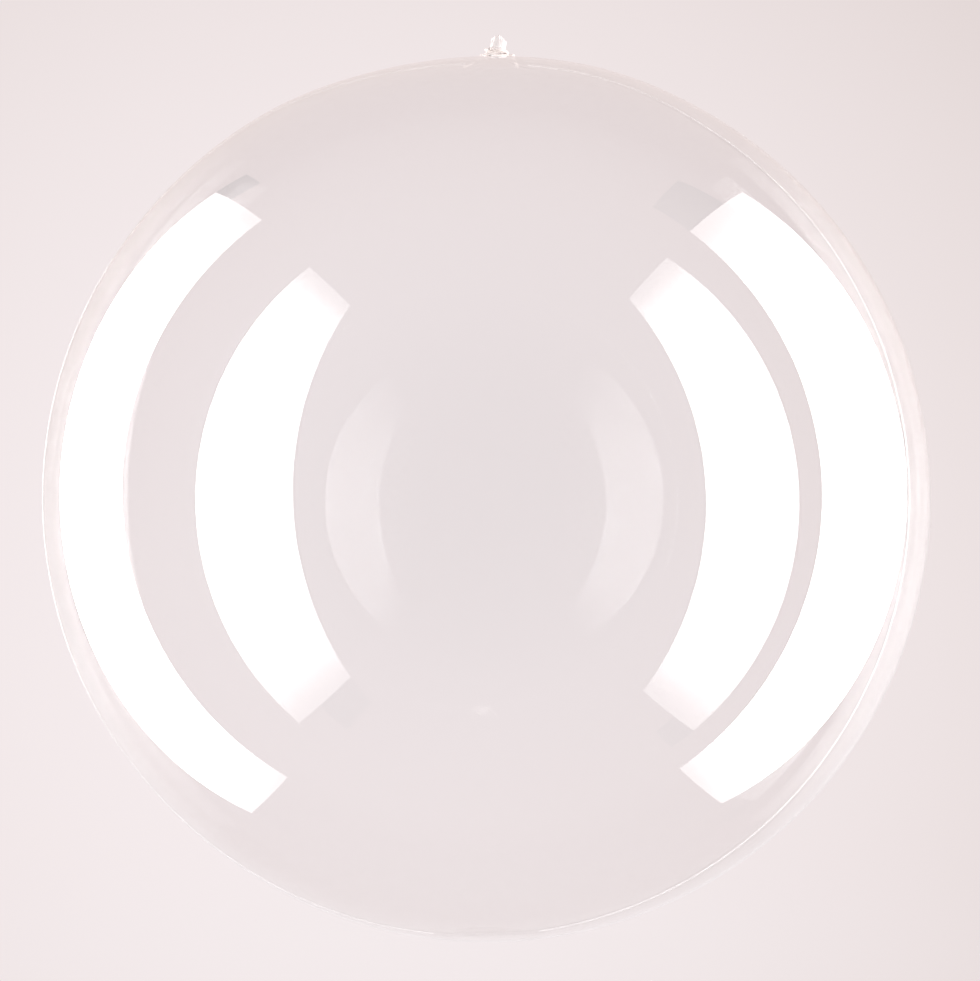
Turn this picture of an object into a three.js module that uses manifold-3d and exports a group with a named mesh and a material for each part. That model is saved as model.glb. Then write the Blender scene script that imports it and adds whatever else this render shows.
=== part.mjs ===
// A clear bubble balloon: a round envelope of thin stretch film, its neck gathered at the top,
// tied off with string and cut short above the tie. It stands on a small flat spot, neck up.
// The film is sealed, so the bubble is one solid, and the string round its neck is another.
// Millimetres, +Z up, origin in the middle of the flat spot.

import * as THREE from 'three';
import { mergeVertices } from 'three/addons/utils/BufferGeometryUtils.js';
import Module from 'manifold-3d';

// The round body
const bubbleRadius = 230;
const flatSpotRadius = 24;
const roundSegments = 72;
const lowerRings = 17;
const upperRings = 14;

// The top of the body, drawn down a little round the neck and then up into it
const flattenedRadius = 75;
const flattenedDepth = 1.2;
const coneRadius = 17;
const coneRise = 3.2;
const topRings = 11;

// The neck, which is tied a little off the body's own axis
const neckOffset = new THREE.Vector2(5, 5);
const neckShiftInner = 45;
const neckShiftOuter = 120;
const neckRadius = 4.4;
const neckLength = 4.6;

// The crumpled end of the neck above the tie, fanned sideways and cut off at a slant
const stubHeight = 7.6;
const stubRings = 5;
const stubLean = 1.2;
const stubWidthScale = 0.94;
const stubDepthScale = 0.64;
const stubPleats = 9;
const stubPleatDepth = 0.15;
const stubPeak = 0.2;
const stubSlopeLeft = 0.4;
const stubSlopeRight = 0.95;

// The string: two turns, a knot of two small loops, and two cut ends that lie on the film
const stringDiameter = 1.4;
const stringSides = 8;
const fitGap = 0.3;
const turnSegments = 32;
const loopSegments = 12;
const tailSteps = 12;

const centreHeight = Math.sqrt(bubbleRadius ** 2 - flatSpotRadius ** 2);
const roundTop = centreHeight + bubbleRadius;
const stringRadius = stringDiameter / 2;

const clearFilm = new THREE.MeshStandardMaterial({
  name: 'clear_film',
  color: 0xf1e9e9,
  roughness: 0.06,
  metalness: 0,
  transparent: true,
  opacity: 0.3,
});
const whiteString = new THREE.MeshStandardMaterial({
  name: 'white_string',
  color: 0xf6f2ee,
  roughness: 0.85,
  metalness: 0,
});

// Height of the film over the round body's highest point, at a distance from the neck's middle
function filmRise(distance) {
  const round = Math.sqrt(bubbleRadius ** 2 - distance ** 2) - bubbleRadius;
  const flattened = THREE.MathUtils.smoothstep(flattenedRadius - distance, 0, flattenedRadius);
  const cone = Math.max(0, (coneRadius - distance) / (coneRadius - neckRadius)) ** 2;
  return round - flattenedDepth * flattened + coneRise * cone;
}

const neckBase = roundTop + filmRise(neckRadius);
const neckTop = neckBase + neckLength;
const tieHeight = neckBase + neckLength / 2;

// Outline of half the bubble, from the middle of its flat spot to the middle of the neck's cut end
function bubbleOutline() {
  const outline = [new THREE.Vector2(0, 0)];
  const flatAngle = Math.asin(flatSpotRadius / bubbleRadius);
  for (let i = 0; i <= lowerRings; i++) {
    const angle = THREE.MathUtils.lerp(flatAngle, Math.PI / 2, i / lowerRings);
    const radius = bubbleRadius * Math.sin(angle);
    outline.push(new THREE.Vector2(radius, centreHeight - bubbleRadius * Math.cos(angle)));
  }
  const topAngle = Math.asin(flattenedRadius / bubbleRadius);
  for (let i = 1; i <= upperRings; i++) {
    const angle = THREE.MathUtils.lerp(Math.PI / 2, topAngle, i / upperRings);
    const radius = bubbleRadius * Math.sin(angle);
    outline.push(new THREE.Vector2(radius, centreHeight + bubbleRadius * Math.cos(angle)));
  }
  for (let i = 1; i <= topRings; i++) {
    const distance = flattenedRadius * (neckRadius / flattenedRadius) ** (i / topRings);
    outline.push(new THREE.Vector2(distance, roundTop + filmRise(distance)));
  }
  for (let i = 0; i <= stubRings; i++) {
    outline.push(new THREE.Vector2(neckRadius, neckTop + (stubHeight * i) / stubRings));
  }
  outline.push(new THREE.Vector2(0, neckTop + stubHeight));
  return outline;
}

// The stub's cut edge falls away on both sides of its peak
function cutHeight(x) {
  const past = x - stubPeak;
  const drop = past > 0 ? past * stubSlopeRight : -past * stubSlopeLeft;
  return stubHeight - drop;
}

// Fans, pleats and slants the stub, and moves the neck off the body's axis
function shapeNeck(vertex) {
  const rise = (vertex.z - neckTop) / stubHeight;
  if (rise > 0) {
    const angle = Math.atan2(vertex.y, vertex.x);
    const pleat = 1 + stubPleatDepth * rise * Math.cos(stubPleats * angle);
    vertex.x *= pleat * THREE.MathUtils.lerp(1, stubWidthScale, rise);
    vertex.y *= pleat * THREE.MathUtils.lerp(1, stubDepthScale, rise);
    vertex.z = neckTop + rise * cutHeight(vertex.x);
    vertex.x += stubLean * rise;
  }
  if (vertex.z > centreHeight) {
    const distance = Math.hypot(vertex.x, vertex.y);
    const share = THREE.MathUtils.smoothstep(neckShiftOuter - distance, 0, neckShiftOuter - neckShiftInner);
    vertex.x += neckOffset.x * share;
    vertex.y += neckOffset.y * share;
  }
}

function bubbleGeometry() {
  const geometry = new THREE.LatheGeometry(bubbleOutline(), roundSegments);
  geometry.rotateX(Math.PI / 2);
  const positions = geometry.attributes.position;
  const vertex = new THREE.Vector3();
  for (let i = 0; i < positions.count; i++) {
    vertex.fromBufferAttribute(positions, i);
    shapeNeck(vertex);
    positions.setXYZ(i, vertex.x, vertex.y, vertex.z);
  }
  geometry.computeVertexNormals();
  return geometry;
}

// A turn of string round the neck: lift is over the tie's middle, tilt lowers its +X side
function neckTurn(lift, tilt, lean) {
  const radius = neckRadius + fitGap * 2 + stringRadius;
  const turn = new THREE.TorusGeometry(radius, stringRadius, stringSides, turnSegments);
  turn.rotateX(lean);
  turn.rotateY(tilt);
  turn.translate(neckOffset.x, neckOffset.y, tieHeight + lift);
  return turn;
}

// A point on the string where it lies on the film, given from the neck's middle
function onFilm(x, y, lift = 0) {
  const height = roundTop + filmRise(Math.hypot(x, y)) + stringRadius + fitGap * 2 + lift;
  return new THREE.Vector3(neckOffset.x + x, neckOffset.y + y, height);
}

// A small standing loop of the knot, centred over a point on the film beside the turns
function knotLoop(x, y, radius, turnAngle) {
  const loop = new THREE.TorusGeometry(radius, stringRadius, stringSides, loopSegments);
  loop.rotateX(Math.PI / 2);
  loop.rotateZ(turnAngle);
  const centre = onFilm(x, y, radius);
  loop.translate(centre.x, centre.y, centre.z);
  return loop;
}

function stringAlong(points) {
  const section = new THREE.Shape();
  section.absarc(0, 0, stringRadius, 0, Math.PI * 2);
  return new THREE.ExtrudeGeometry(section, {
    steps: tailSteps,
    curveSegments: stringSides / 2,
    bevelEnabled: false,
    extrudePath: new THREE.CatmullRomCurve3(points),
  });
}

const wasm = await Module();
wasm.setup();

function toSolid(geometry) {
  const bare = geometry.clone();
  bare.deleteAttribute('normal');
  bare.deleteAttribute('uv');
  const merged = mergeVertices(bare, 1e-4);
  return new wasm.Manifold(new wasm.Mesh({
    numProp: 3,
    vertProperties: new Float32Array(merged.attributes.position.array),
    triVerts: new Uint32Array(merged.index.array),
  }));
}

function toGeometry(solid) {
  const mesh = solid.getMesh();
  const geometry = new THREE.BufferGeometry();
  geometry.setAttribute('position', new THREE.BufferAttribute(mesh.vertProperties, 3));
  geometry.setIndex(new THREE.BufferAttribute(mesh.triVerts, 1));
  geometry.computeVertexNormals();
  return geometry;
}

function stringGeometry() {
  const strands = [
    neckTurn(0.8, 0.12, 0.05),
    neckTurn(-0.6, -0.06, -0.06),
    knotLoop(-6.6, -5.2, 1.2, 0.7),
    knotLoop(6.8, -5, 1.3, -0.6),
    stringAlong([onFilm(-5, -4.8, 1.4), onFilm(-9, -1.5, 0.5), onFilm(-13, 6), onFilm(-17, 15)]),
    stringAlong([onFilm(6, -4.8, 1.4), onFilm(9, -1.5, 0.5), onFilm(11.5, 7), onFilm(12.5, 18)]),
    stringAlong([onFilm(-6.4, -5.4, 2.4), onFilm(0, -7.4, 2), onFilm(6.6, -5.2, 2.2)]),
  ];
  const joined = strands.map(toSolid).reduce((whole, strand) => whole.add(strand));
  return toGeometry(joined);
}

function addPiece(group, name, geometry, material) {
  const piece = new THREE.Mesh(geometry, material);
  piece.name = name;
  group.add(piece);
}

const balloon = new THREE.Group();
addPiece(balloon, 'bubble', bubbleGeometry(), clearFilm);
addPiece(balloon, 'tie_string', stringGeometry(), whiteString);

export default balloon;
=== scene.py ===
import math

import bmesh
import bpy
from mathutils import Matrix, Vector, noise


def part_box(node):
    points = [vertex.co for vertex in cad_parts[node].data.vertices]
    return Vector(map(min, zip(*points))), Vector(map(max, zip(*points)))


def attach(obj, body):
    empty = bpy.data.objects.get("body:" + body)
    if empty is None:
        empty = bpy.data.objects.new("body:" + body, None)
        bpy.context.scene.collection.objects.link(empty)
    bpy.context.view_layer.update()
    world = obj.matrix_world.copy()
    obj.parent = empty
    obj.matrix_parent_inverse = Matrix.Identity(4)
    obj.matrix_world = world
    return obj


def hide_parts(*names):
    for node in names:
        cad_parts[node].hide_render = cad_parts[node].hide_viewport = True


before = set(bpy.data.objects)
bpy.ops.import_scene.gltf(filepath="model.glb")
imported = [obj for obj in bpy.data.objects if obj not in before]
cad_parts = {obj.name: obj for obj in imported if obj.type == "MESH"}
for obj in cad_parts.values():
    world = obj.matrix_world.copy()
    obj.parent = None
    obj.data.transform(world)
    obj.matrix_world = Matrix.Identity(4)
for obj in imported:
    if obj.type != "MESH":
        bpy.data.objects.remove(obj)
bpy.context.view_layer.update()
print("frame loaded:", ", ".join(sorted(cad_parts)))

bubbleLow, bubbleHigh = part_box("bubble")
bubbleRadius = (bubbleHigh.x - bubbleLow.x) / 2
flatSpotRadius = 0.024  # the patch of film that it stands on
centreHeight = math.sqrt(bubbleRadius ** 2 - flatSpotRadius ** 2)
roundTop = centreHeight + bubbleRadius

# the top of the film, drawn down a little round the neck and then up into it, in metres
neck = {
    "offset": Vector((0.005, 0.005, 0)),  # tied a little off the body's own axis
    "shiftFrom": 0.045,
    "shiftTo": 0.120,
    "flattenedRadius": 0.075,
    "flattenedDepth": 0.0012,
    "coneRadius": 0.017,
    "coneRise": 0.0032,
    "radius": 0.0044,
    "length": 0.0046,
}


def smoothStep(value):
    value = min(1.0, max(0.0, value))
    return value * value * (3 - 2 * value)


# height of the film over the round body's highest point, at a distance from the neck's middle
def filmRise(distance):
    sag = math.sqrt(bubbleRadius ** 2 - distance ** 2) - bubbleRadius
    flattened = smoothStep(1 - distance / neck["flattenedRadius"])
    cone = max(0.0, (neck["coneRadius"] - distance) / (neck["coneRadius"] - neck["radius"])) ** 2
    return sag - neck["flattenedDepth"] * flattened + neck["coneRise"] * cone


neckBase = roundTop + filmRise(neck["radius"])
neckTop = neckBase + neck["length"]
tieHeight = neckBase + neck["length"] / 2


# sRGB hex to the linear colour that sockets take
def linearColour(code):
    channels = [int(code[i:i + 2], 16) / 255 for i in (1, 3, 5)]
    return [c / 12.92 if c <= 0.04045 else ((c + 0.055) / 1.055) ** 2.4 for c in channels] + [1.0]


# adds a node with its settings; an input given as a socket is linked, any other is set
def addNode(tree, kind, inputs=None, **settings):
    node = tree.nodes.new(kind)
    for name, value in settings.items():
        setattr(node, name, value)
    for name, value in (inputs or {}).items():
        if isinstance(value, bpy.types.NodeSocket):
            tree.links.new(value, node.inputs[name])
        else:
            node.inputs[name].default_value = value
    return node


def setStops(ramp, stops):
    elements = ramp.color_ramp.elements
    while len(elements) < len(stops):
        elements.new(0.5)
    for element, (place, code) in zip(elements, sorted(stops)):
        element.position = place
        element.color = linearColour(code)


def newMaterial(name):
    material = bpy.data.materials.new(name)
    material.use_nodes = True
    material.node_tree.nodes.clear()
    return material, material.node_tree


def editMode():
    bpy.ops.object.mode_set(mode="EDIT")
    bpy.ops.mesh.select_all(action="SELECT")


def objectMode():
    bpy.ops.object.mode_set(mode="OBJECT")


# selects the vertices whose place passes a test, and nothing else
def selectWhere(test):
    mesh = bmesh.from_edit_mesh(bpy.context.object.data)
    bpy.ops.mesh.select_all(action="DESELECT")
    for vertex in mesh.verts:
        vertex.select = test(vertex.co)
    mesh.select_flush(True)
    bmesh.update_edit_mesh(bpy.context.object.data)


def applyModifier(piece, kind, **settings):
    modifier = piece.modifiers.new(kind.title(), kind)
    for name, value in settings.items():
        setattr(modifier, name, value)
    bpy.ops.object.modifier_apply(modifier=modifier.name)


def finishPiece(piece, name, material, node):
    piece.name = name
    piece.data.name = name
    piece.data.materials.clear()
    piece.data.materials.append(material)
    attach(piece, "root")
    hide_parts(node)
    print(f"{name}: {len(piece.data.polygons)} faces")
    return piece


# a collection that a light can be kept to
def makeCollection(name, members):
    collection = bpy.data.collections.new(name)
    bpy.context.scene.collection.children.link(collection)
    for member in members:
        collection.objects.link(member)
    return collection


# level with the middle of the bubble, at six times its radius
cameraPlace = {
    "distance": 6.0,
    "frameShare": 0.907,  # how much of the frame's half width the bubble fills
    "shift": (0.0031, 0.0076),
    "sensorWidth": 36,
    "clip": (0.05, 60),
}


def makeCamera():
    data = bpy.data.cameras.new("camera")
    camera = bpy.data.objects.new("camera", data)
    bpy.context.scene.collection.objects.link(camera)
    distance = cameraPlace["distance"]
    camera.location = (0, -distance * bubbleRadius, centreHeight)
    camera.rotation_euler = (math.pi / 2, 0, 0)
    data.sensor_width = cameraPlace["sensorWidth"]
    edgeSlope = 1 / math.sqrt(distance ** 2 - 1)  # slope of the line of sight that just touches the bubble
    data.lens = data.sensor_width / 2 * cameraPlace["frameShare"] / edgeSlope
    data.shift_x, data.shift_y = cameraPlace["shift"]
    data.clip_start, data.clip_end = cameraPlace["clip"]
    bpy.context.scene.camera = camera


# the blown-up film, with a flat spot below and drawn up into the neck above
film = {
    "segments": 256,
    "rings": 128,
    "wall": 0.00018,
    "inset": 0.0003,  # it lies this far inside the full round, so that the weld stands proud
    "flatInset": 0.008,
    "neckRings": 26,
    "pleats": 19,
    "pleatHeight": 0.00035,
    "pleatReach": 0.011,
    "pleatSway": 5.0,
    "seed": Vector((0, 0, 3.7)),
    "lineSpacing": 0.00238,  # the fine lines beside the weld, which run along it
    "lineStretch": 0.02,
    "lineReach": 0.011,
    "lineDepth": 0.0002,
}
seamTurn = math.radians(8.5)  # the weld's plane, turned about the neck
seamAlong = Vector((math.cos(seamTurn), math.sin(seamTurn), 0))
seamNormal = Vector((-math.sin(seamTurn), math.cos(seamTurn), 0))


# fine pleats that run out from the neck, and the neck's place off the axis
def shapeFilmTop(mesh):
    for vertex in mesh.vertices:
        point = vertex.co
        distance = math.hypot(point.x, point.y)
        if point.z < centreHeight or distance > neck["shiftTo"]:
            continue
        angle = math.atan2(point.y, point.x)
        near = math.exp(-max(0.0, distance - neck["radius"]) / film["pleatReach"])
        uneven = noise.noise(Vector((math.cos(angle), math.sin(angle), 0)) * 2 + film["seed"])
        wave = math.cos(film["pleats"] * angle + film["pleatSway"] * uneven)
        point.z += film["pleatHeight"] * near * wave * (0.7 + uneven)
        share = smoothStep((neck["shiftTo"] - distance) / (neck["shiftTo"] - neck["shiftFrom"]))
        vertex.co = point + neck["offset"] * share


def makeFilm(material):
    bpy.ops.mesh.primitive_uv_sphere_add(
        segments=film["segments"], ring_count=film["rings"], radius=bubbleRadius - film["inset"],
        location=(0, 0, centreHeight))
    piece = bpy.context.object
    bpy.ops.object.transform_apply(location=True)
    editMode()
    bpy.ops.mesh.bisect(plane_co=(0, 0, 0), plane_no=(0, 0, 1), use_fill=True, clear_inner=True)
    bpy.ops.mesh.inset(thickness=film["flatInset"])
    bpy.ops.mesh.poke()
    topRadius = neck["flattenedRadius"]
    ringHeight = centreHeight + math.sqrt(bubbleRadius ** 2 - topRadius ** 2)
    bpy.ops.mesh.select_all(action="SELECT")
    bpy.ops.mesh.bisect(plane_co=(0, 0, ringHeight), plane_no=(0, 0, 1), clear_outer=True)
    rimHeight = ringHeight - 1e-5
    selectWhere(lambda point: point.z > rimHeight)
    ringRadius = topRadius
    for i in range(1, film["neckRings"] + 1):
        nextRadius = topRadius * (neck["radius"] / topRadius) ** (i / film["neckRings"])
        nextHeight = roundTop + filmRise(nextRadius)
        bpy.ops.mesh.extrude_region_move(TRANSFORM_OT_translate={"value": (0, 0, nextHeight - ringHeight)})
        scale = nextRadius / ringRadius
        bpy.ops.transform.resize(value=(scale, scale, 1), center_override=(0, 0, nextHeight))
        ringRadius = nextRadius
        ringHeight = nextHeight
    bpy.ops.mesh.extrude_region_move(TRANSFORM_OT_translate={"value": (0, 0, neckTop - ringHeight)})
    bpy.ops.mesh.extrude_region_move()
    bpy.ops.mesh.merge(type="CENTER")
    bpy.ops.mesh.select_all(action="SELECT")
    bpy.ops.mesh.remove_doubles(threshold=1e-6)
    bpy.ops.mesh.normals_make_consistent(inside=False)
    objectMode()
    shapeFilmTop(piece.data)
    bpy.ops.object.shade_smooth()
    applyModifier(piece, "SOLIDIFY", thickness=film["wall"], offset=-1)
    piece.visible_diffuse = False  # clear film hardly shades the floor
    return finishPiece(piece, "bubble_film", material, "bubble")


# polyurethane stretch film, blown up tight: glass-clear and glossy, drawn into fine lines along its weld
def makeFilmMaterial():
    material, tree = newMaterial("clear_stretch_film")
    place = addNode(tree, "ShaderNodeTexCoord")
    across = addNode(tree, "ShaderNodeVectorMath", {0: place.outputs["Object"], 1: seamNormal},
                     operation="DOT_PRODUCT")
    height = addNode(tree, "ShaderNodeSeparateXYZ", {"Vector": place.outputs["Object"]})
    spread = addNode(tree, "ShaderNodeCombineXYZ", {"X": across.outputs["Value"], "Z": height.outputs["Z"]})
    stretched = addNode(tree, "ShaderNodeVectorMath", {
        0: spread.outputs["Vector"],
        1: (1.0, 1.0, film["lineStretch"]),
    }, operation="MULTIPLY")
    lines = addNode(tree, "ShaderNodeTexNoise", {
        "Vector": stretched.outputs["Vector"],
        "Scale": 1 / film["lineSpacing"],
        "Detail": 2.0,
    })
    distance = addNode(tree, "ShaderNodeMath", {0: across.outputs["Value"]}, operation="ABSOLUTE")
    near = addNode(tree, "ShaderNodeMapRange", {
        "Value": distance.outputs["Value"],
        "From Min": 0.0,
        "From Max": film["lineReach"],
        "To Min": 1.0,
        "To Max": 0.0,
    }, interpolation_type="SMOOTHSTEP")
    bump = addNode(tree, "ShaderNodeBump", {
        "Height": lines.outputs["Fac"],
        "Strength": near.outputs["Result"],
        "Distance": film["lineDepth"],
    })
    shader = addNode(tree, "ShaderNodeBsdfPrincipled", {
        "Base Color": linearColour("#FFFFFF"),
        "Roughness": 0.01,
        "IOR": 1.5,
        "Transmission Weight": 1.0,
        "Normal": bump.outputs["Normal"],
    })
    addNode(tree, "ShaderNodeOutputMaterial", {"Surface": shader.outputs["BSDF"]})
    return material


# the weld between the film's two halves: a fine uneven bead from the neck down to the flat spot
weld = {
    "segments": 900,
    "sides": 8,
    "radius": 0.00032,
    "sunk": 1.15,  # how deep its middle lies under the full round, in its own radii
    "pucker": 0.00012,
    "puckerPitch": 0.009,
    "puckerSway": 7.0,
    "unevenPitch": 11.0,
    "frosting": 0.00111,  # size of the cloudy spots
    "bottomGap": 0.026,
    "topGap": 0.012,
}


def makeWeld(material):
    ringRadius = bubbleRadius - weld["radius"] * weld["sunk"]
    bpy.ops.mesh.primitive_torus_add(
        major_segments=weld["segments"], minor_segments=weld["sides"], major_radius=ringRadius,
        minor_radius=weld["radius"], location=(0, 0, 0), rotation=(math.pi / 2, 0, seamTurn))
    piece = bpy.context.object
    bpy.ops.object.transform_apply(location=True, rotation=True)
    editMode()
    bpy.ops.transform.translate(value=(0, 0, centreHeight))
    selectWhere(lambda point: point.z < centreHeight and math.hypot(point.x, point.y) < weld["bottomGap"]
                or point.z > centreHeight and math.hypot(point.x, point.y) < weld["topGap"])
    bpy.ops.mesh.delete(type="VERT")
    bpy.ops.mesh.select_all(action="SELECT")
    bpy.ops.mesh.region_to_loop()
    bpy.ops.mesh.edge_face_add()
    bpy.ops.mesh.select_all(action="SELECT")
    bpy.ops.mesh.fill_holes(sides=0)
    bpy.ops.mesh.normals_make_consistent(inside=False)
    objectMode()
    puckers = 2 * math.pi * bubbleRadius / weld["puckerPitch"]
    for vertex in piece.data.vertices:
        offset = vertex.co - Vector((0, 0, centreHeight))
        angle = math.atan2(offset.z, offset.dot(seamAlong))
        uneven = noise.noise(Vector((angle * weld["unevenPitch"], 0.7, 1.3)))
        sway = math.sin(puckers * angle + weld["puckerSway"] * uneven) * (0.4 + uneven)
        vertex.co += seamNormal * (weld["pucker"] * sway)
        vertex.co -= offset.normalized() * filmShortfall(vertex.co)
        distance = math.hypot(vertex.co.x, vertex.co.y)
        if vertex.co.z > centreHeight:
            share = smoothStep((neck["shiftTo"] - distance) / (neck["shiftTo"] - neck["shiftFrom"]))
            vertex.co += neck["offset"] * share
    bpy.ops.object.shade_smooth_by_angle(angle=math.radians(70))
    return finishPiece(piece, "weld_seam", material, "bubble")


# how far the film lies under the full round, near the neck
def filmShortfall(point):
    distance = math.hypot(point.x, point.y)
    if point.z < centreHeight or distance > neck["flattenedRadius"]:
        return 0.0
    cone = max(0.0, (neck["coneRadius"] - distance) / (neck["coneRadius"] - neck["radius"])) ** 2
    flattened = smoothStep(1 - distance / neck["flattenedRadius"])
    return neck["flattenedDepth"] * flattened - neck["coneRise"] * cone


# the same film, heat-welded: it has gone cloudy, so that it catches the light as a pale line
def makeWeldMaterial():
    material, tree = newMaterial("heat_welded_film")
    place = addNode(tree, "ShaderNodeTexCoord")
    grain = addNode(tree, "ShaderNodeTexNoise", {
        "Vector": place.outputs["Object"],
        "Scale": 1 / weld["frosting"],
        "Detail": 3.0,
    })
    roughness = addNode(tree, "ShaderNodeMapRange", {
        "Value": grain.outputs["Fac"],
        "To Min": 0.2,
        "To Max": 0.45,
    })
    bump = addNode(tree, "ShaderNodeBump", {
        "Height": grain.outputs["Fac"],
        "Strength": 0.4,
        "Distance": 0.00003,
    })
    shader = addNode(tree, "ShaderNodeBsdfPrincipled", {
        "Base Color": linearColour("#FDFBFB"),
        "Roughness": roughness.outputs["Result"],
        "IOR": 1.5,
        "Transmission Weight": 0.45,
        "Normal": bump.outputs["Normal"],
    })
    addNode(tree, "ShaderNodeOutputMaterial", {"Surface": shader.outputs["BSDF"]})
    return material


# the cut end of the neck above the tie: the film gathered into pleats and fanned out
stub = {
    "segments": 220,
    "rings": 16,
    "pleats": 17,
    "height": 0.0076,
    "lean": 0.0012,
    "widthScale": 0.92,
    "depthScale": 0.66,
    "peak": 0.0002,
    "slopeLeft": 0.4,
    "slopeRight": 0.95,
    "pleatDepth": 0.09,
    "pleatSway": 0.35,
    "pinch": 0.16,  # the string bites in this much
    "pinchRise": 0.12,
    "pinchSpread": 0.1,
    "cutDrop": 0.0008,
    "ragged": 0.0005,
    "gripOverlap": 0.0004,
    "inset": 0.0001,
    "innerRings": [0.8, 0.56, 0.34, 0.16],
    "foldFrom": 0.002,
    "foldReach": 0.62,  # the folds inside the cut edge, in neck radii
    "foldDepth": 0.0009,
    "foldHeight": 0.0011,
    "foldSpacing": (0.00111, 0.00067),
    "creaseSpacing": 0.00111,
}


# the pleats are shallow where the string grips and deep at the cut edge, which falls away from its peak
def shapeStub(mesh, base):
    for vertex in mesh.vertices:
        point = vertex.co
        rise = (point.z - base) / (neckTop + stub["height"] - base)
        angle = math.atan2(point.y, point.x)
        distance = math.hypot(point.x, point.y)
        uneven = noise.noise(Vector((math.cos(angle) * 1.6, math.sin(angle) * 1.6, rise * 0.8)))
        crease = abs(math.sin(stub["pleats"] * (angle + stub["pleatSway"] * uneven) / 2)) * 2 - 1
        pleat = 1 - stub["pleatDepth"] * smoothStep(rise) * (0.5 - 0.5 * crease + 0.5 * uneven)
        pinch = 1 - stub["pinch"] * math.exp(-((rise - stub["pinchRise"]) / stub["pinchSpread"]) ** 2)
        flare = distance * pleat * pinch
        x = math.cos(angle) * flare * (1 + (stub["widthScale"] - 1) * rise)
        y = math.sin(angle) * flare * (1 + (stub["depthScale"] - 1) * rise)
        past = x - stub["peak"]
        drop = past * stub["slopeRight"] if past > 0 else -past * stub["slopeLeft"]
        ragged = stub["ragged"] * noise.noise(Vector((angle * 2.2, 8.1, 0)))
        z = base + rise * (neckTop + stub["height"] - drop - stub["cutDrop"] + ragged - base)
        vertex.co = Vector((x + stub["lean"] * rise, y, z)) + neck["offset"]


# inside its edge the gathered film is folded into creases of its own
def foldCutEnd(mesh):
    across, deep = stub["foldSpacing"]
    for vertex in mesh.vertices:
        flat = vertex.co - neck["offset"] - Vector((stub["lean"], 0, 0))
        distance = math.hypot(flat.x, flat.y / stub["depthScale"])
        if vertex.co.z > neckTop + stub["foldFrom"] and distance < neck["radius"] * stub["foldReach"]:
            folds = noise.noise(Vector((flat.x / across, flat.y / deep, 2.4)))
            vertex.co.z += stub["foldHeight"] * folds - stub["foldDepth"]


def makeStub(material):
    base = neckBase + stub["gripOverlap"]
    depth = neckTop + stub["height"] - base
    bpy.ops.mesh.primitive_cylinder_add(
        vertices=stub["segments"], radius=neck["radius"] - stub["inset"], depth=depth, end_fill_type="NOTHING",
        location=(0, 0, base + depth / 2))
    piece = bpy.context.object
    bpy.ops.object.transform_apply(location=True)
    for i in range(1, stub["rings"]):
        editMode()
        bpy.ops.mesh.bisect(plane_co=(0, 0, base + depth * i / stub["rings"]), plane_no=(0, 0, 1))
        objectMode()
    editMode()
    rim = base + depth - 1e-6
    selectWhere(lambda point: point.z > rim)
    lastShare = 1.0
    for share in stub["innerRings"]:
        bpy.ops.mesh.extrude_region_move()
        scale = share / lastShare
        bpy.ops.transform.resize(value=(scale, scale, 1), center_override=(0, 0, rim))
        lastShare = share
    bpy.ops.mesh.edge_face_add()
    bpy.ops.mesh.poke()
    selectWhere(lambda point: point.z < base + 1e-6)
    bpy.ops.mesh.edge_face_add()
    bpy.ops.mesh.poke()
    bpy.ops.mesh.select_all(action="SELECT")
    bpy.ops.mesh.normals_make_consistent(inside=False)
    objectMode()
    shapeStub(piece.data, base)
    foldCutEnd(piece.data)
    bpy.ops.object.shade_smooth_by_angle(angle=math.radians(60))
    return finishPiece(piece, "neck_stub", material, "bubble")


# the same film in many gathered layers: the layers scatter the light, so it looks milky white
def makeStubMaterial():
    material, tree = newMaterial("gathered_stretch_film")
    place = addNode(tree, "ShaderNodeTexCoord")
    upright = addNode(tree, "ShaderNodeVectorMath", {0: place.outputs["Object"], 1: (1.0, 1.0, 0.25)},
                      operation="MULTIPLY")
    creasesWithPaintedShade = addNode(tree, "ShaderNodeTexNoise", {
        "Vector": upright.outputs["Vector"],
        "Scale": 1 / stub["creaseSpacing"],
        "Detail": 4.0,
        "Roughness": 0.6,
    })
    # painted shade: the colour is darker where the crease noise is low, in the hollows of the bump
    colour = addNode(tree, "ShaderNodeValToRGB", {"Fac": creasesWithPaintedShade.outputs["Fac"]})
    setStops(colour, [(0.3, "#C6BEBC"), (0.6, "#DAD5D4")])
    bump = addNode(tree, "ShaderNodeBump", {
        "Height": creasesWithPaintedShade.outputs["Fac"],
        "Strength": 0.5,
        "Distance": 0.00006,
    })
    shader = addNode(tree, "ShaderNodeBsdfPrincipled", {
        "Base Color": colour.outputs["Color"],
        "Roughness": 0.4,
        "IOR": 1.5,
        "Subsurface Weight": 0.6,
        "Subsurface Radius": (1.0, 0.95, 0.95),
        "Subsurface Scale": 0.002,
        "Normal": bump.outputs["Normal"],
    })
    addNode(tree, "ShaderNodeOutputMaterial", {"Surface": shader.outputs["BSDF"]})
    return material


# the string: three plies twisted together, two turns round the neck, a knot and two short ends
twine = {
    "diameter": 0.0014,
    "plies": 3,
    "plyRadius": 0.00036,
    "plyPath": 0.00034,  # how far each ply runs from the string's middle
    "pitch": 0.0036,
    "step": 0.00028,
    "sides": 8,
    "gap": 0.0006,
    "upperTurn": (0.0008, 0.12, 0.05),  # lift, tilt and lean of each turn round the neck
    "lowerTurn": (-0.0006, -0.06, -0.06),
    "loopLift": 0.2,  # the loops' lift and lean, in their own radii
    "loopAside": 0.9,
    "loopRise": 0.4,
    "splay": 0.00035,
    "splayLength": 0.002,
    "fibreTuft": 0.0002,
    "bleachPatch": 0.002,
}


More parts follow.
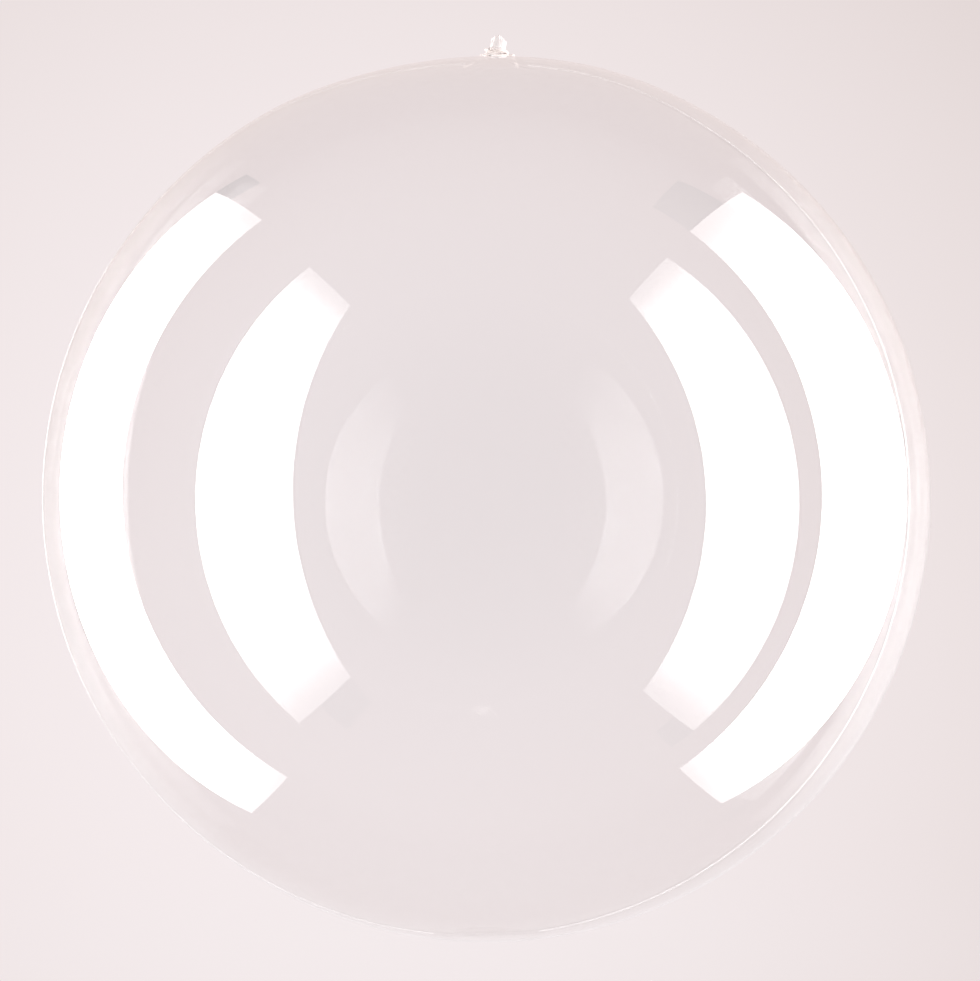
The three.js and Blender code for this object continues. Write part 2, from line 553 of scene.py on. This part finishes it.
# a point on the string where it lies on the film, given in millimetres from the neck's middle
def onFilm(x, y, lift=0.0):
    distance = math.hypot(x, y) / 1000
    height = roundTop + filmRise(distance) + twine["diameter"] / 2 + twine["gap"] + lift / 1000
    return Vector((neck["offset"].x + x / 1000, neck["offset"].y + y / 1000, height))


# a point on a turn round the neck: lift is over the tie's middle, and tilt lowers the +X side
def onTurn(degrees, lift, tilt, lean):
    radius = neck["radius"] + twine["gap"] + twine["diameter"] / 2
    angle = math.radians(degrees)
    x = radius * math.cos(angle)
    y = radius * math.sin(angle)
    return Vector((neck["offset"].x + x, neck["offset"].y + y, tieHeight + lift - x * tilt + y * lean))


# a point on a small loop of the knot, which leans over until it nearly lies on the film
def onLoop(x, y, radius, turn, degrees):
    centre = onFilm(x, y, radius * twine["loopLift"])
    angle = math.radians(degrees)
    along = radius / 1000 * math.cos(angle)
    rise = radius / 1000 * math.sin(angle)
    ahead = Vector((math.cos(turn), math.sin(turn), 0))
    aside = Vector((-math.sin(turn), math.cos(turn), 0))
    lean = aside * twine["loopAside"] + Vector((0, 0, twine["loopRise"]))
    return centre + ahead * along + lean * rise


# from the left end over the film, through a loop, across the front, through a loop and out to the right end
def knotRoute():
    points = [onFilm(-17, 15), onFilm(-15.2, 10.5), onFilm(-13, 6), onFilm(-11, 1.8), onFilm(-9, -1.5, 0.5)]
    points += [onLoop(-6.6, -5.2, 1.2, 0.7, degrees) for degrees in range(200, -160, -45)]
    points += [onFilm(-3.4, -7.3, 1.2), onFilm(0, -8.0, 0.4), onFilm(3.6, -7.4, 0.2)]
    points += [onLoop(7.4, -5.4, 1.6, -0.6, degrees) for degrees in range(150, -200, -45)]
    points += [onFilm(8.6, -1.5, 0.4), onFilm(9.8, 3), onFilm(10.4, 7), onFilm(10.8, 11), onFilm(11, 15)]
    return points


def turnRoute():
    upper = [onTurn(degrees, *twine["upperTurn"]) for degrees in range(-125, 215, 15)]
    lower = [onTurn(degrees, *twine["lowerTurn"]) for degrees in range(235, 590, 15)]
    return upper + lower


# points along a smooth curve through a route, a step apart
def smoothRoute(points):
    curve = bpy.data.curves.new("route", "CURVE")
    curve.dimensions = "3D"
    curve.resolution_u = 24
    spline = curve.splines.new("BEZIER")
    spline.bezier_points.add(len(points) - 1)
    for knot, point in zip(spline.bezier_points, points):
        knot.co = point
        knot.handle_left_type = "AUTO"
        knot.handle_right_type = "AUTO"
    holder = bpy.data.objects.new("route", curve)
    bpy.context.scene.collection.objects.link(holder)
    dense = [vertex.co.copy() for vertex in holder.to_mesh().vertices]
    holder.to_mesh_clear()
    bpy.data.objects.remove(holder)
    evened = [dense[0]]
    for point in dense[1:]:
        while (point - evened[-1]).length > twine["step"]:
            evened.append(evened[-1] + (point - evened[-1]).normalized() * twine["step"])
    return evened


# the line of one ply: it winds round the string's middle, and spreads at the two cut ends
def plyRoute(middle, ply):
    route = []
    side = Vector((0, 0, 1))
    total = (len(middle) - 1) * twine["step"]
    for i, point in enumerate(middle):
        ahead = (middle[min(i + 1, len(middle) - 1)] - middle[max(i - 1, 0)]).normalized()
        side = (side - ahead * side.dot(ahead)).normalized()
        other = ahead.cross(side)
        travel = i * twine["step"]
        turn = 2 * math.pi * (travel / twine["pitch"] + ply / twine["plies"])
        fromEnd = min(travel, total - travel)
        spread = twine["plyPath"] + twine["splay"] * max(0.0, 1 - fromEnd / twine["splayLength"]) ** 2
        route.append(point + (side * math.cos(turn) + other * math.sin(turn)) * spread)
    return route


def makePly(route):
    bpy.ops.curve.primitive_nurbs_path_add()
    ply = bpy.context.object
    ply.data.splines.clear()
    spline = ply.data.splines.new("POLY")
    spline.points.add(len(route) - 1)
    for knot, point in zip(spline.points, route):
        knot.co = (*point, 1)
    ply.location = (0, 0, 0)
    ply.data.bevel_depth = twine["plyRadius"]
    ply.data.bevel_resolution = twine["sides"] // 4
    ply.data.use_fill_caps = True
    bpy.ops.object.convert(target="MESH")
    return bpy.context.object


def makeTwine(material):
    plies = []
    for points in (turnRoute(), knotRoute()):
        middle = smoothRoute(points)
        for ply in range(twine["plies"]):
            plies.append(makePly(plyRoute(middle, ply)))
    bpy.ops.object.select_all(action="DESELECT")
    for ply in plies:
        ply.select_set(True)
    bpy.context.view_layer.objects.active = plies[0]
    bpy.ops.object.join()
    piece = bpy.context.object
    editMode()
    bpy.ops.mesh.remove_doubles(threshold=1e-7)
    bpy.ops.mesh.normals_make_consistent(inside=False)
    objectMode()
    bpy.ops.object.shade_smooth_by_angle(angle=math.radians(60))
    return finishPiece(piece, "tie_twine", material, "tie_string")


# bleached cotton twine, spun and twisted: matt and slightly fuzzy, with fine fibres along each ply
def makeTwineMaterial():
    material, tree = newMaterial("bleached_cotton_twine")
    place = addNode(tree, "ShaderNodeTexCoord")
    fibres = addNode(tree, "ShaderNodeTexNoise", {
        "Vector": place.outputs["Object"],
        "Scale": 1 / twine["fibreTuft"],
        "Detail": 3.0,
    })
    patches = addNode(tree, "ShaderNodeTexNoise", {
        "Vector": place.outputs["Object"],
        "Scale": 1 / twine["bleachPatch"],
        "Detail": 2.0,
    })
    colour = addNode(tree, "ShaderNodeValToRGB", {"Fac": patches.outputs["Fac"]})
    setStops(colour, [(0.3, "#D6CBC7"), (0.65, "#E8E1DD")])
    bump = addNode(tree, "ShaderNodeBump", {
        "Height": fibres.outputs["Fac"],
        "Strength": 0.5,
        "Distance": 0.00002,
    })
    shader = addNode(tree, "ShaderNodeBsdfPrincipled", {
        "Base Color": colour.outputs["Color"],
        "Roughness": 0.85,
        "Sheen Weight": 0.3,
        "Normal": bump.outputs["Normal"],
    })
    addNode(tree, "ShaderNodeOutputMaterial", {"Surface": shader.outputs["BSDF"]})
    return material


# a pale backdrop, a pale floor, and two tall strip lights in a dimmer room
studio = {
    "backdropMiddle": "#F6EDEE",
    "backdropCorner": "#DFD3D1",
    "fallOff": {"X": (-0.17, -1.75), "Z": (-0.12, -1.5)},  # slope and curve across and up the backdrop
    "fallReach": 0.21,
    "fallDepth": -5.0,  # turns the fall-off into a share of the corner's colour
    "surroundingsAbove": [  # from the backdrop over the top to behind the camera
        (1.0, "#F4E8E7"),
        (0.96, "#E5D7D4"),
        (0.72, "#B39D9A"),
        (0.5, "#A99390"),
        (0.2, "#8E8182"),
        (0.0, "#3E3A3C"),
    ],
    "surroundingsBelow": [
        (1.0, "#F8F1F2"),
        (0.82, "#E9E0E2"),
        (0.47, "#D0C8C9"),
        (0.2, "#A29B9E"),
        (0.0, "#3E3A3C"),
    ],
    "horizonBlend": 0.25,
}

# each strip's middle from the bubble's middle, in radii, and its turn, lean and tilt in degrees
strips = {
    "right": {
        "middle": (1.993, -0.040, -0.327),
        "turn": 7.25,
        "lean": -3.9,
        "tilt": 0.0,
        "flagShare": 0.6,  # of the strip's width
        "flagHeight": 0.16,  # metres
    },
    "left": {
        "middle": (-2.041, 0.281, -0.279),
        "turn": -5.8,
        "lean": 1.7,
        "tilt": -2.3,
        "flagShare": 0.4,
        "flagHeight": 0.10,
    },
}
stripSize = (0.31, 1.20)  # metres, the diffuser of the usual 30 by 120 cm strip light
stripGlow = {
    "radiance": 14.0,
    "endShare": 0.12,  # a strip is dimmer towards its ends
    "evenReach": 0.7,  # in radii
    "onSmallParts": 7.0,  # radiance for the weld, the stub and the twine
}

# wide soft lights: one for the floor alone, one for the weld, the stub and the twine
softLights = {
    "spread": math.radians(60),
    "floorStrength": 2.1,
    "fillStrength": 2.4,  # from the camera's side
    "fillLean": math.radians(62),
}


# how many times a view has been mirrored or scattered, counting from 1
def turnedDepth(tree):
    path = addNode(tree, "ShaderNodeLightPath")
    turned = addNode(tree, "ShaderNodeMath", {
        0: path.outputs["Ray Depth"],
        1: path.outputs["Transmission Depth"],
    }, operation="SUBTRACT")
    return turned.outputs["Value"]


# 0 for a view of the room straight through the film, 1 for whatever is mirrored or lit
def bouncedShare(tree):
    path = addNode(tree, "ShaderNodeLightPath")
    early = addNode(tree, "ShaderNodeMath", {0: turnedDepth(tree), 1: 1.5}, operation="LESS_THAN")
    seen = addNode(tree, "ShaderNodeMath", {
        0: path.outputs["Is Camera Ray"],
        1: path.outputs["Is Transmission Ray"],
    }, operation="MAXIMUM")
    straight = addNode(tree, "ShaderNodeMath", {0: early.outputs["Value"], 1: seen.outputs["Value"]},
                       operation="MULTIPLY")
    bounced = addNode(tree, "ShaderNodeMath", {0: 1.0, 1: straight.outputs["Value"]}, operation="SUBTRACT")
    return bounced.outputs["Value"]


# a slow fall-off over the backdrop: dimmer towards the top and the right
def backdropShade(tree, parts):
    terms = []
    for axis, (slope, curve) in studio["fallOff"].items():
        near = addNode(tree, "ShaderNodeClamp", {
            "Value": parts.outputs[axis],
            "Min": -studio["fallReach"],
            "Max": studio["fallReach"],
        })
        bend = addNode(tree, "ShaderNodeMath", {0: near.outputs["Result"], 1: curve, 2: slope},
                       operation="MULTIPLY_ADD")
        term = addNode(tree, "ShaderNodeMath", {0: near.outputs["Result"], 1: bend.outputs["Value"]},
                       operation="MULTIPLY")
        terms.append(term.outputs["Value"])
    both = addNode(tree, "ShaderNodeMath", {0: terms[0], 1: terms[1]}, operation="ADD")
    fall = addNode(tree, "ShaderNodeMath", {0: both.outputs["Value"], 1: studio["fallDepth"]},
                   operation="MULTIPLY")
    colour = addNode(tree, "ShaderNodeMix", {
        0: fall.outputs["Value"],
        6: linearColour(studio["backdropMiddle"]),
        7: linearColour(studio["backdropCorner"]),
    }, data_type="RGBA")
    return colour.outputs[2]


def makeWorld():
    world = bpy.data.worlds.new("studio")
    bpy.context.scene.world = world
    world.use_nodes = True
    tree = world.node_tree
    tree.nodes.clear()
    place = addNode(tree, "ShaderNodeTexCoord")
    parts = addNode(tree, "ShaderNodeSeparateXYZ", {"Vector": place.outputs["Generated"]})
    depth = addNode(tree, "ShaderNodeMapRange", {
        "Value": parts.outputs["Y"],
        "From Min": -1.0,
        "From Max": 1.0,
    })
    above = addNode(tree, "ShaderNodeValToRGB", {"Fac": depth.outputs["Result"]})
    setStops(above, studio["surroundingsAbove"])
    below = addNode(tree, "ShaderNodeValToRGB", {"Fac": depth.outputs["Result"]})
    setStops(below, studio["surroundingsBelow"])
    upward = addNode(tree, "ShaderNodeMapRange", {
        "Value": parts.outputs["Z"],
        "From Min": -studio["horizonBlend"],
        "From Max": studio["horizonBlend"],
    }, interpolation_type="SMOOTHSTEP")
    surroundings = addNode(tree, "ShaderNodeMix", {
        0: upward.outputs["Result"],
        6: below.outputs["Color"],
        7: above.outputs["Color"],
    }, data_type="RGBA")
    backdrop = addNode(tree, "ShaderNodeBackground", {"Color": backdropShade(tree, parts)})
    room = addNode(tree, "ShaderNodeBackground", {"Color": surroundings.outputs[2]})
    mixed = addNode(tree, "ShaderNodeMixShader", {
        0: bouncedShare(tree),
        1: backdrop.outputs["Background"],
        2: room.outputs["Background"],
    })
    addNode(tree, "ShaderNodeOutputWorld", {"Surface": mixed.outputs["Shader"]})


# where a strip stands: its lit face looks at the bubble
def stripMatrix(place):
    middle = Vector(place["middle"]) * bubbleRadius + Vector((0, 0, centreHeight))
    turn, lean, tilt = (math.radians(place[key]) for key in ("turn", "lean", "tilt"))
    across = Vector((math.sin(turn), math.cos(turn), 0))
    outward = across.cross(Vector((0, 0, 1)))
    upward = Vector((0, 0, 1)) * math.cos(lean) + outward * math.sin(lean)
    side = across * math.cos(tilt) + upward * math.sin(tilt)
    rise = upward * math.cos(tilt) - across * math.sin(tilt)
    back = side.cross(rise)
    if back.x * middle.x < 0:
        side.negate()
        back.negate()
    return Matrix.Translation(middle) @ Matrix((side, rise, back)).transposed().to_4x4()


def makeStrip(name, place, radiance, pieces):
    data = bpy.data.lights.new(name, "AREA")
    data.shape = "RECTANGLE"
    data.size, data.size_y = stripSize
    data.energy = radiance * math.pi * data.size * data.size_y
    light = bpy.data.objects.new(name, data)
    bpy.context.scene.collection.objects.link(light)
    light.matrix_world = stripMatrix(place)
    light.visible_camera = False
    light.light_linking.receiver_collection = pieces
    light.light_linking.blocker_collection = pieces
    return light


# the film mirrors a strip, but it isn't seen straight through the film
def limitToMirrored(light):
    light.data.use_nodes = True
    tree = light.data.node_tree
    tree.nodes.clear()
    spot = addNode(tree, "ShaderNodeNewGeometry")
    parts = addNode(tree, "ShaderNodeSeparateXYZ", {"Vector": spot.outputs["Position"]})
    above = addNode(tree, "ShaderNodeMath", {0: parts.outputs["Z"], 1: light.matrix_world.translation.z},
                    operation="SUBTRACT")
    away = addNode(tree, "ShaderNodeMath", {0: above.outputs["Value"]}, operation="ABSOLUTE")
    evenness = addNode(tree, "ShaderNodeMapRange", {
        "Value": away.outputs["Value"],
        "From Min": stripGlow["evenReach"] * bubbleRadius,
        "From Max": light.data.size_y / 2,
        "To Min": 1.0,
        "To Max": stripGlow["endShare"],
    }, interpolation_type="SMOOTHSTEP")
    path = addNode(tree, "ShaderNodeLightPath")
    clean = addNode(tree, "ShaderNodeMath", {0: path.outputs["Diffuse Depth"], 1: 0.5},
                    operation="LESS_THAN")
    mirrored = addNode(tree, "ShaderNodeMath", {0: turnedDepth(tree), 1: 1.5}, operation="GREATER_THAN")
    share = addNode(tree, "ShaderNodeMath", {0: mirrored.outputs["Value"], 1: clean.outputs["Value"]},
                    operation="MULTIPLY")
    strength = addNode(tree, "ShaderNodeMath", {0: share.outputs["Value"], 1: evenness.outputs["Result"]},
                       operation="MULTIPLY")
    glow = addNode(tree, "ShaderNodeEmission", {"Strength": strength.outputs["Value"]})
    addNode(tree, "ShaderNodeOutputLight", {"Surface": glow.outputs["Emission"]})


# a dark flag over each strip's top end, on one side, which only shows where the film mirrors it, as a painted
# dark reflection
def makeFlag(name, place, material):
    bpy.ops.mesh.primitive_plane_add(size=1, location=(0, 0, 0))
    piece = bpy.context.object
    piece.name = name
    matrix = stripMatrix(place)
    width, height = stripSize
    flagWidth = width * place["flagShare"]
    editMode()
    bpy.ops.transform.resize(value=(flagWidth, place["flagHeight"], 1), center_override=(0, 0, 0))
    bpy.ops.transform.translate(value=((flagWidth - width) / 2, (height + place["flagHeight"]) / 2, 0))
    objectMode()
    piece.data.transform(matrix)
    piece.data.materials.append(material)
    piece.visible_shadow = False
    piece.visible_diffuse = False


# black felt, painted as a fixed dark-grey glow instead of being lit: clear to every view but a mirrored one,
# where it paints a dark reflection on the film
def makeFlagMaterial():
    material, tree = newMaterial("black_flag_painted_glow")
    path = addNode(tree, "ShaderNodeLightPath")
    mirrored = addNode(tree, "ShaderNodeMath", {0: path.outputs["Glossy Depth"], 1: 0.5},
                       operation="GREATER_THAN")
    clear = addNode(tree, "ShaderNodeBsdfTransparent")
    # painted reflection: a fixed dark-grey glow stands in for lit black felt
    paintedGlow = addNode(tree, "ShaderNodeEmission", {"Color": linearColour("#3A3436"), "Strength": 1.0})
    mixed = addNode(tree, "ShaderNodeMixShader", {
        0: mirrored.outputs["Value"],
        1: clear.outputs["BSDF"],
        2: paintedGlow.outputs["Emission"],
    })
    addNode(tree, "ShaderNodeOutputMaterial", {"Surface": mixed.outputs["Shader"]})
    return material


floor = {
    "radius": 0.5,
    "fadeFrom": 0.0,
    "fadeTo": 0.45,
    "cover": 0.24,
    "colourLeft": "#EDF0F2",
    # a darker colour on the right: painted shade, as if the light fell off that way
    "paintedShadeRight": "#E9EBED",
    "colourReach": 0.3,
}


# it fades out into the backdrop, and isn't in the way of what the film mirrors; its colour darkens towards the
# right as painted shade
def makeFloor():
    bpy.ops.mesh.primitive_circle_add(
        vertices=96, radius=floor["radius"], fill_type="NGON", location=(0, 0, 0))
    piece = bpy.context.object
    piece.name = "studio_floor"
    material, tree = newMaterial("studio_floor")
    place = addNode(tree, "ShaderNodeTexCoord")
    distance = addNode(tree, "ShaderNodeVectorMath", {0: place.outputs["Object"]}, operation="LENGTH")
    fade = addNode(tree, "ShaderNodeMapRange", {
        "Value": distance.outputs["Value"],
        "From Min": floor["fadeFrom"],
        "From Max": floor["fadeTo"],
        "To Min": floor["cover"],
        "To Max": 0.0,
    }, interpolation_type="SMOOTHSTEP")
    path = addNode(tree, "ShaderNodeLightPath")
    direct = addNode(tree, "ShaderNodeMath", {0: path.outputs["Glossy Depth"], 1: 0.5},
                     operation="LESS_THAN")
    share = addNode(tree, "ShaderNodeMath", {0: fade.outputs["Result"], 1: direct.outputs["Value"]},
                    operation="MULTIPLY")
    parts = addNode(tree, "ShaderNodeSeparateXYZ", {"Vector": place.outputs["Object"]})
    # painted shade: across X the floor's colour goes from the left colour to the darker right one
    paintedShadeToRight = addNode(tree, "ShaderNodeMapRange", {
        "Value": parts.outputs["X"],
        "From Min": -floor["colourReach"],
        "From Max": floor["colourReach"],
    })
    colour = addNode(tree, "ShaderNodeMix", {
        0: paintedShadeToRight.outputs["Result"],
        6: linearColour(floor["colourLeft"]),
        7: linearColour(floor["paintedShadeRight"]),
    }, data_type="RGBA")
    clear = addNode(tree, "ShaderNodeBsdfTransparent")
    paint = addNode(tree, "ShaderNodeBsdfDiffuse", {"Color": colour.outputs[2]})
    mixed = addNode(tree, "ShaderNodeMixShader", {
        0: share.outputs["Value"],
        1: clear.outputs["BSDF"],
        2: paint.outputs["BSDF"],
    })
    addNode(tree, "ShaderNodeOutputMaterial", {"Surface": mixed.outputs["Shader"]})
    piece.data.materials.append(material)
    return piece


# a wide soft light for the pieces in one collection alone
def makeSoftLight(name, energy, turn, pieces):
    data = bpy.data.lights.new(name, "SUN")
    data.energy = energy
    data.angle = softLights["spread"]
    light = bpy.data.objects.new(name, data)
    bpy.context.scene.collection.objects.link(light)
    light.rotation_euler = turn
    light.visible_transmission = False
    light.light_linking.receiver_collection = pieces
    light.light_linking.blocker_collection = pieces


bpy.context.scene.cycles.max_bounces = 24
bpy.context.scene.cycles.glossy_bounces = 16
bpy.context.scene.cycles.transmission_bounces = 24
bpy.context.scene.cycles.sample_clamp_indirect = 20  # the strips' second images keep their full brightness
bpy.context.scene.view_settings.view_transform = "Standard"
bpy.ops.object.select_all(action="DESELECT")
makeCamera()
makeWorld()
floorAlone = makeCollection("floor_alone", [makeFloor()])
makeSoftLight("floor_light", softLights["floorStrength"], (0, 0, 0), floorAlone)

filmPiece = makeFilm(makeFilmMaterial())
smallPieces = [
    makeWeld(makeWeldMaterial()),
    makeStub(makeStubMaterial()),
    makeTwine(makeTwineMaterial()),
]
filmAlone = makeCollection("film_alone", [filmPiece])
smallParts = makeCollection("small_parts", smallPieces)
makeSoftLight("fill_light", softLights["fillStrength"], (softLights["fillLean"], 0, 0), smallParts)
flagPaintedGlow = makeFlagMaterial()
for name, place in strips.items():
    limitToMirrored(makeStrip(f"strip_{name}_mirrored", place, stripGlow["radiance"], filmAlone))
    makeStrip(f"strip_{name}_direct", place, stripGlow["onSmallParts"], smallParts)
    makeFlag(f"strip_{name}_flag", place, flagPaintedGlow)
print("studio: floor, backdrop and", len(strips), "strip lights")
